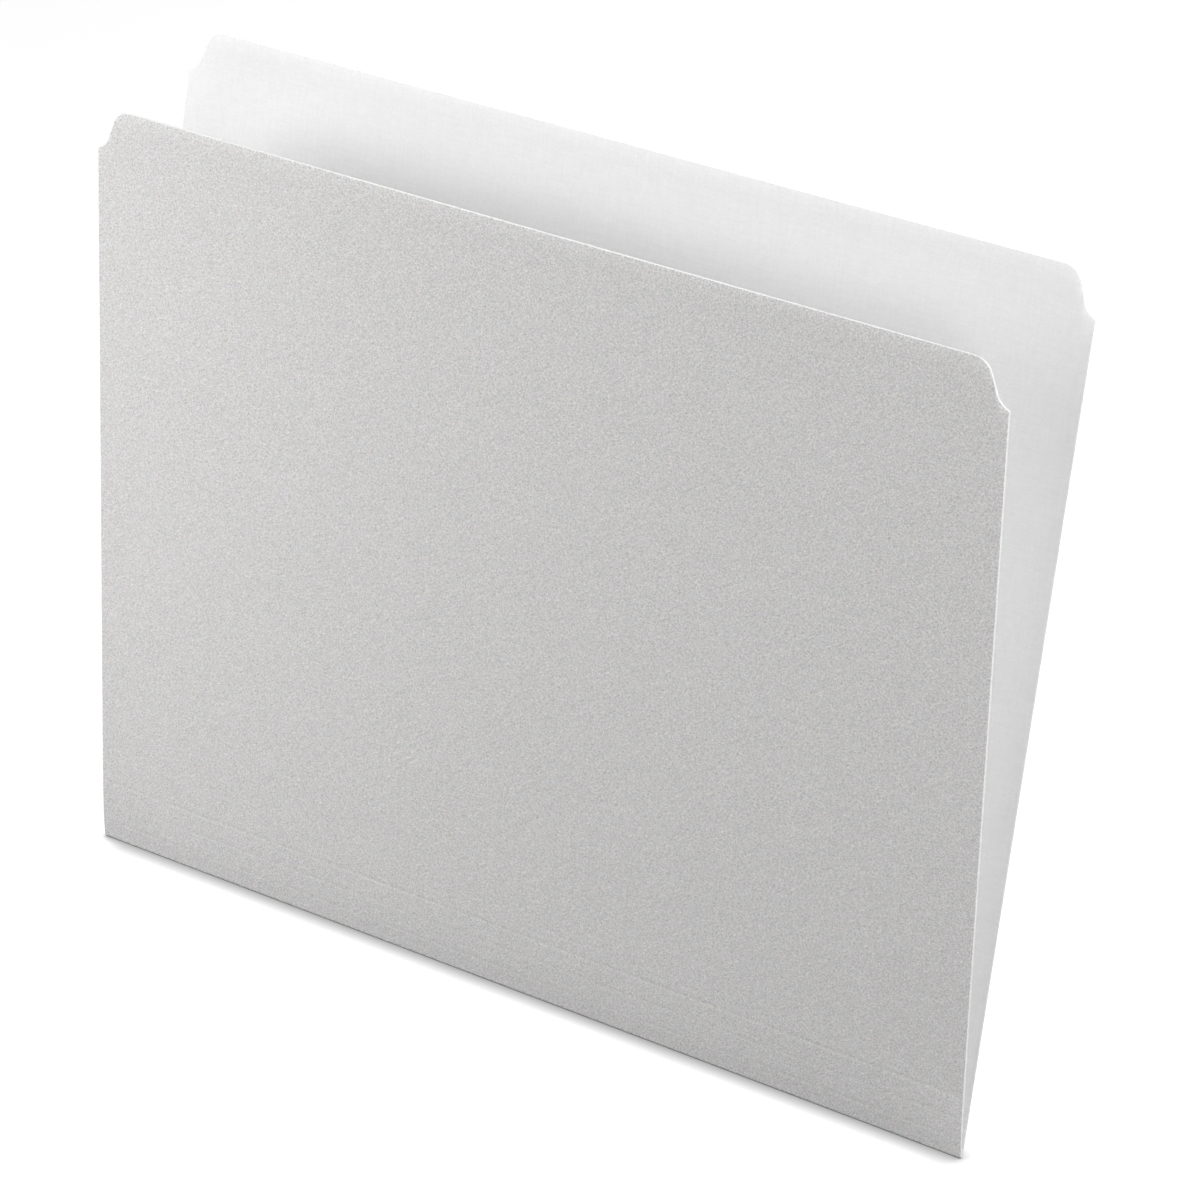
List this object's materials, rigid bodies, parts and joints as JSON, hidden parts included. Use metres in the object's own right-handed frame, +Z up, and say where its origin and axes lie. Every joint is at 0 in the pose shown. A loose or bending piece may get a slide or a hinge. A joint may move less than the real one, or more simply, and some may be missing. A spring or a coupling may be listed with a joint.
{
  "type": "file folder",
  "caption": "Upright file folder of creased two-ply board with full-width tabs on both leaves, a bottom fold, and expansion scores that square the bottom for a thicker stack.",
  "frame": {"origin": "on the resting surface, under the middle of the bottom fold", "axes": "+X along the fold, +Y from the front leaf towards the rear leaf, +Z up"},
  "size_m": [0.2984, 0.0407, 0.241],
  "materials": {
    "white_board": "uncoated white board with a faint woven tooth, bright at every cut edge",
    "grey_facing": "matte grey facing paper with a fine pressboard mottle"
  },
  "bodies": {
    "fold": {"fold_bead": "grey_facing"},
    "rear_leaf": {"rear_board": "white_board", "rear_facing": "grey_facing"},
    "lower_strip": {"lower_strip_board": "white_board", "lower_strip_facing": "grey_facing", "lower_score_bead": "grey_facing"},
    "middle_strip": {"middle_strip_board": "white_board", "middle_strip_facing": "grey_facing", "middle_score_bead": "grey_facing"},
    "upper_strip": {"upper_strip_board": "white_board", "upper_strip_facing": "grey_facing", "upper_score_bead": "grey_facing"},
    "front_leaf": {"front_board": "white_board", "front_facing": "grey_facing"}
  },
  "joints": [
    {"name": "rear_opening", "type": "hinge", "parent": "fold", "child": "rear_leaf", "pos_m": [0, 0, 0.0006], "axis": [-1, 0, 0], "range_deg": [-5, 85]},
    {"name": "front_opening", "type": "hinge", "parent": "fold", "child": "lower_strip", "pos_m": [0, 0, 0.0006], "axis": [1, 0, 0], "range_deg": [-4.5, 80.5]},
    {"name": "lower_score_bend", "type": "hinge", "parent": "lower_strip", "child": "middle_strip", "pos_m": [0, -0.00109, 0.00589], "axis": [1, 0, 0], "range_deg": [0, 3]},
    {"name": "middle_score_bend", "type": "hinge", "parent": "middle_strip", "child": "upper_strip", "pos_m": [0, -0.00181, 0.0122], "axis": [1, 0, 0], "range_deg": [0, 1]},
    {"name": "upper_score_bend", "type": "hinge", "parent": "upper_strip", "child": "front_leaf", "pos_m": [0, -0.00242, 0.01852], "axis": [1, 0, 0], "range_deg": [0, 1]}
  ]
}
